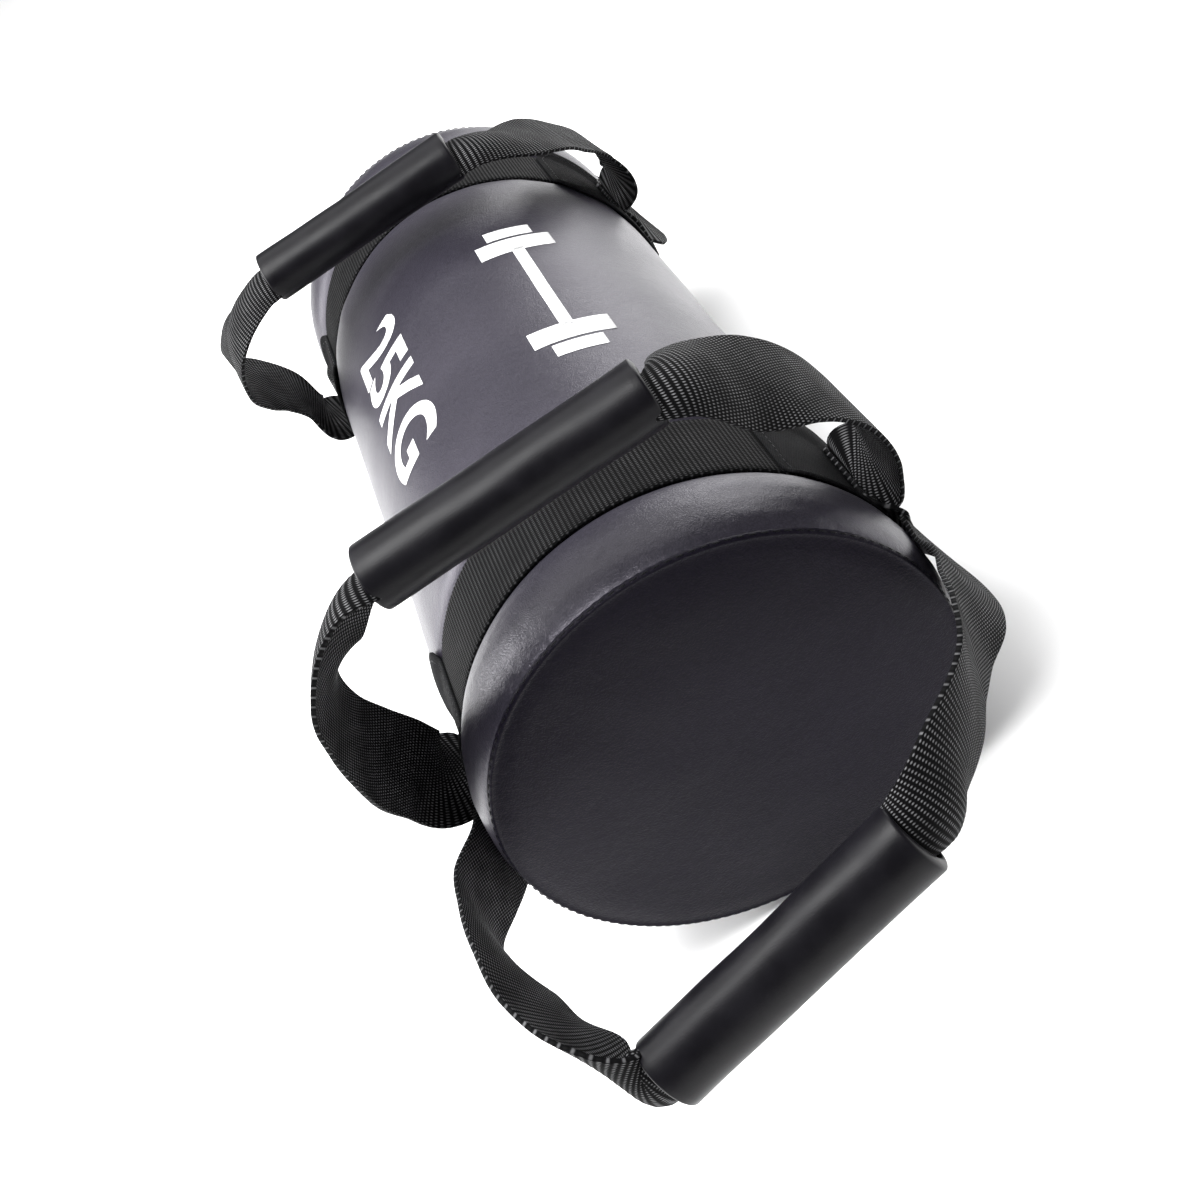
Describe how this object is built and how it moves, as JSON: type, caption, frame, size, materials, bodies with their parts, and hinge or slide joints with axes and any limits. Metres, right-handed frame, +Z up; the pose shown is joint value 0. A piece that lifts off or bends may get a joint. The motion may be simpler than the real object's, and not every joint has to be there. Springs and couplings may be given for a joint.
{
  "type": "sandbag",
  "caption": "Round sand-filled training bag lying on its side, with sewn end discs, webbing girth bands, anchor patches and webbing handles with rubber grip sleeves.",
  "frame": {"origin": "middle of the flat underside that the bag rests on", "axes": "+Z up, +Y along the bag from the front end to the back end, +X to the right seen from the front"},
  "size_m": [0.2653, 0.7838, 0.2929],
  "materials": {
    "leather": "satin charcoal coated cloth with a fine grain",
    "webbing": "black ribbed webbing",
    "patch_cloth": "rough black cloth",
    "grip_rubber": "matte charcoal foam rubber",
    "foam": "pale foam sheet",
    "sack_cloth": "woven sack",
    "sand": "dry sand"
  },
  "bodies": {
    "bag": {"side_panel": "leather", "front_end_disc": "leather", "back_end_disc": "leather", "foam_sleeve": "foam", "front_foam_pad": "foam", "back_foam_pad": "foam", "filler_sack": "sack_cloth", "sand_filling": "sand", "front_girth_band": "webbing", "back_girth_band": "webbing", "front_left_patch": "patch_cloth", "front_right_patch": "patch_cloth", "back_left_patch": "patch_cloth", "back_right_patch": "patch_cloth", "front_top_left_sewn_end": "webbing", "front_top_right_sewn_end": "webbing", "back_top_left_sewn_end": "webbing", "back_top_right_sewn_end": "webbing", "front_end_left_sewn_end": "webbing", "front_end_right_sewn_end": "webbing", "back_end_left_sewn_end": "webbing", "back_end_right_sewn_end": "webbing"},
    "front_top_handle": {"front_top_webbing": "webbing"},
    "back_top_handle": {"back_top_webbing": "webbing"},
    "front_end_handle": {"front_end_webbing": "webbing"},
    "back_end_handle": {"back_end_webbing": "webbing"},
    "front_top_sleeve": {"front_top_grip": "grip_rubber"},
    "back_top_sleeve": {"back_top_grip": "grip_rubber"},
    "front_end_sleeve": {"front_end_grip": "grip_rubber"},
    "back_end_sleeve": {"back_end_grip": "grip_rubber"}
  },
  "joints": [
    {"name": "front_top_swing", "type": "hinge", "parent": "bag", "child": "front_top_handle", "pos_m": [0, -0.178, 0.1075], "axis": [1, 0, 0], "range_deg": [-54, 11]},
    {"name": "back_top_swing", "type": "hinge", "parent": "bag", "child": "back_top_handle", "pos_m": [0, 0.178, 0.1075], "axis": [1, 0, 0], "range_deg": [-43, 9]},
    {"name": "front_end_swing", "type": "hinge", "parent": "bag", "child": "front_end_handle", "pos_m": [0, -0.178, 0.1075], "axis": [1, 0, 0], "range_deg": [-11, 31]},
    {"name": "back_end_swing", "type": "hinge", "parent": "bag", "child": "back_end_handle", "pos_m": [0, 0.178, 0.1075], "axis": [1, 0, 0], "range_deg": [-4, 37]},
    {"name": "front_top_grip_slide", "type": "slide", "parent": "front_top_handle", "child": "front_top_sleeve", "axis": [0.9963, -0.0378, -0.0775], "range_m": [-0.004, 0.004]},
    {"name": "back_top_grip_slide", "type": "slide", "parent": "back_top_handle", "child": "back_top_sleeve", "axis": [0.9945, -0.0299, -0.1003], "range_m": [-0.004, 0.004]},
    {"name": "front_end_grip_slide", "type": "slide", "parent": "front_end_handle", "child": "front_end_sleeve", "axis": [0.9861, 0.0456, 0.1595], "range_m": [-0.004, 0.004]},
    {"name": "back_end_grip_slide", "type": "slide", "parent": "back_end_handle", "child": "back_end_sleeve", "axis": [0.9861, 0.0289, 0.1634], "range_m": [-0.004, 0.004]}
  ]
}
